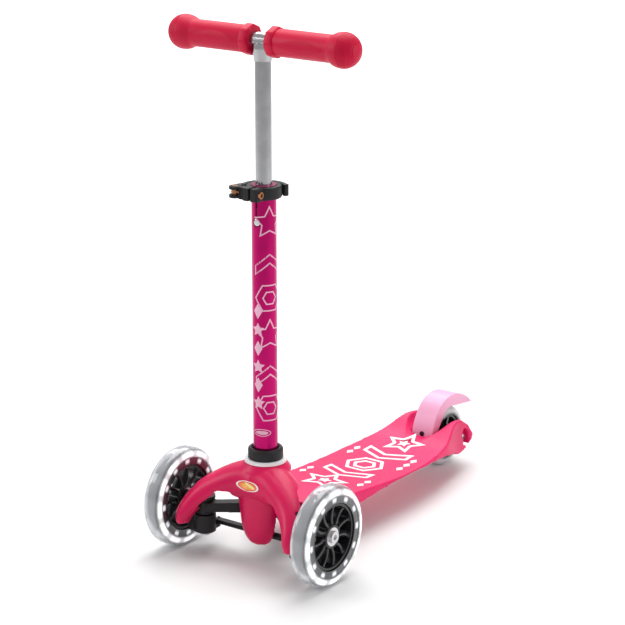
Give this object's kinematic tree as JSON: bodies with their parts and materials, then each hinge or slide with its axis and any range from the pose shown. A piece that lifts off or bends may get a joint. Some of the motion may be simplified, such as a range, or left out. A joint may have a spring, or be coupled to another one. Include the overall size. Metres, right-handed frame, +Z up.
{
  "type": "kick scooter",
  "caption": "Lean-to-steer three-wheeled child's kick scooter with a height-adjustable T-bar, moulded cover, lit front wheels and a rear fender brake.",
  "frame": {"origin": "on the ground at the middle of the overall length and width", "axes": "+Z up, -Y towards the front wheels, +X to the rider's left"},
  "size_m": [0.258, 0.521, 0.6322],
  "materials": {
    "pink_plastic": "satin moulded nylon",
    "black_plastic": "glass-filled nylon, fine texture",
    "core_black": "glossy moulded",
    "clear_tyre": "clear polyurethane",
    "smoky_ring": "smoky translucent polyurethane",
    "lamp": "white lamp lens",
    "steel": "plain steel",
    "polished_tube": "bright drawn aluminium",
    "magenta_tube": "anodised",
    "white_plastic": "satin",
    "print_silicone": "raised silicone",
    "badge_enamel": "domed resin",
    "grip_rubber": "soft rubber",
    "brake_pink": "satin moulded nylon",
    "brass": "bronze",
    "rear_tyre": "pale clear polyurethane",
    "black_rubber": "urethane buffer",
    "inner_pink": "dark pink acetal"
  },
  "bodies": {
    "frame": {"deck": "pink_plastic", "deck_print": "print_silicone", "steering_housing": "black_plastic", "front_cover": "pink_plastic", "badge": "badge_enamel", "collar_ring": "black_plastic", "collar_washer": "white_plastic", "lean_pivot_pin": "steel", "steering_finger": "steel", "deck_screws": "steel", "lean_buffers": "black_rubber", "rear_axle_bolt": "steel", "rear_axle_nut": "steel", "rear_spacers": "steel", "rear_bearing_inners": "steel", "brake_pivot_pin": "steel", "brake_spring": "steel"},
    "stem": {"stem_tube": "magenta_tube", "guide_sleeve": "inner_pink", "clamp_ring": "black_plastic", "cam_washer": "black_plastic", "clamp_barrel": "brass", "clamp_bolt": "brass"},
    "clamp_lever": {"clamp_lever": "black_plastic"},
    "handlebar": {"bar_post": "polished_tube", "crossbar": "polished_tube", "bar_weld": "polished_tube", "guide_plug": "inner_pink", "grip_left": "grip_rubber", "grip_right": "grip_rubber", "button_spring": "steel"},
    "snap_button": {"snap_button": "steel"},
    "axle_beam": {"axle_beam": "black_plastic", "kingpins": "steel"},
    "brake": {"brake_fender": "brake_pink", "brake_screw": "black_plastic"},
    "rear_wheel": {"rear_tyre": "rear_tyre", "rear_core": "core_black", "rear_bearing_outers": "steel"},
    "tie_rod": {"tie_rod": "black_plastic"},
    "knuckle_left": {"knuckle_left": "black_plastic", "link_pin_left": "steel", "wheel_bolt_left": "steel", "front_bearing_inners_left": "steel", "front_axle_sleeve_left": "steel"},
    "front_wheel_left": {"front_tyre_left": "clear_tyre", "front_light_ring_left": "smoky_ring", "front_lamps_left": "lamp", "front_core_left": "core_black", "front_bearing_outers_left": "steel"},
    "knuckle_right": {"knuckle_right": "black_plastic", "link_pin_right": "steel", "wheel_bolt_right": "steel", "front_bearing_inners_right": "steel", "front_axle_sleeve_right": "steel"},
    "front_wheel_right": {"front_tyre_right": "clear_tyre", "front_light_ring_right": "smoky_ring", "front_lamps_right": "lamp", "front_core_right": "core_black", "front_bearing_outers_right": "steel"}
  },
  "joints": [
    {"name": "lean", "type": "hinge", "parent": "frame", "child": "axle_beam", "pos_m": [0, -0.1625, 0.056], "axis": [0, 1, 0], "range_deg": [-8, 8], "stiffness_Nm_per_rad": 30, "deforming": ["lean_buffers"]},
    {"name": "steer_left", "type": "hinge", "parent": "axle_beam", "child": "knuckle_left", "pos_m": [0.07, -0.2005, 0.05], "axis": [0, 0, 1], "range_deg": [-10, 10]},
    {"name": "steer_right", "type": "hinge", "parent": "axle_beam", "child": "knuckle_right", "pos_m": [-0.07, -0.2005, 0.05], "axis": [0, 0, 1], "range_deg": [-10, 10]},
    {"name": "tie_rod_swing", "type": "hinge", "parent": "knuckle_left", "child": "tie_rod", "pos_m": [0.07, -0.1805, 0.031], "axis": [0, 0, 1], "range_deg": [-10, 10]},
    {"name": "front_wheel_left_spin", "type": "hinge", "parent": "knuckle_left", "child": "front_wheel_left", "pos_m": [0.1065, -0.2005, 0.06], "axis": [1, 0, 0], "continuous": true},
    {"name": "front_wheel_right_spin", "type": "hinge", "parent": "knuckle_right", "child": "front_wheel_right", "pos_m": [-0.1065, -0.2005, 0.06], "axis": [1, 0, 0], "continuous": true},
    {"name": "rear_wheel_spin", "type": "hinge", "parent": "frame", "child": "rear_wheel", "pos_m": [0, 0.2085, 0.04], "axis": [1, 0, 0], "continuous": true},
    {"name": "brake_press", "type": "hinge", "parent": "frame", "child": "brake", "pos_m": [0, 0.1595, 0.038], "axis": [-1, 0, 0], "range_deg": [0, 8], "stiffness_Nm_per_rad": 3, "springref_deg": -5.73},
    {"name": "stem_release", "type": "slide", "parent": "frame", "child": "stem", "axis": [0, 0, 1], "range_m": [0, 0.07]},
    {"name": "bar_height", "type": "slide", "parent": "stem", "child": "handlebar", "axis": [0, 0, 1], "range_m": [-0.135, 0], "deforming": ["snap_button", "button_spring"]},
    {"name": "clamp_open", "type": "hinge", "parent": "stem", "child": "clamp_lever", "pos_m": [-0.024, -0.195, 0.4419], "axis": [0, 0, 1], "range_deg": [0, 150]},
    {"name": "button_press", "type": "slide", "parent": "handlebar", "child": "snap_button", "axis": [0, 1, 0], "range_m": [0, 0.004], "stiffness_N_per_m": 1500, "springref_m": -0.002}
  ],
  "couplings": [
    {"joint": "steer_left", "follows": "lean", "ratio": -1.25},
    {"joint": "steer_right", "follows": "lean", "ratio": -1.25},
    {"joint": "tie_rod_swing", "follows": "lean", "ratio": 1.25}
  ]
}
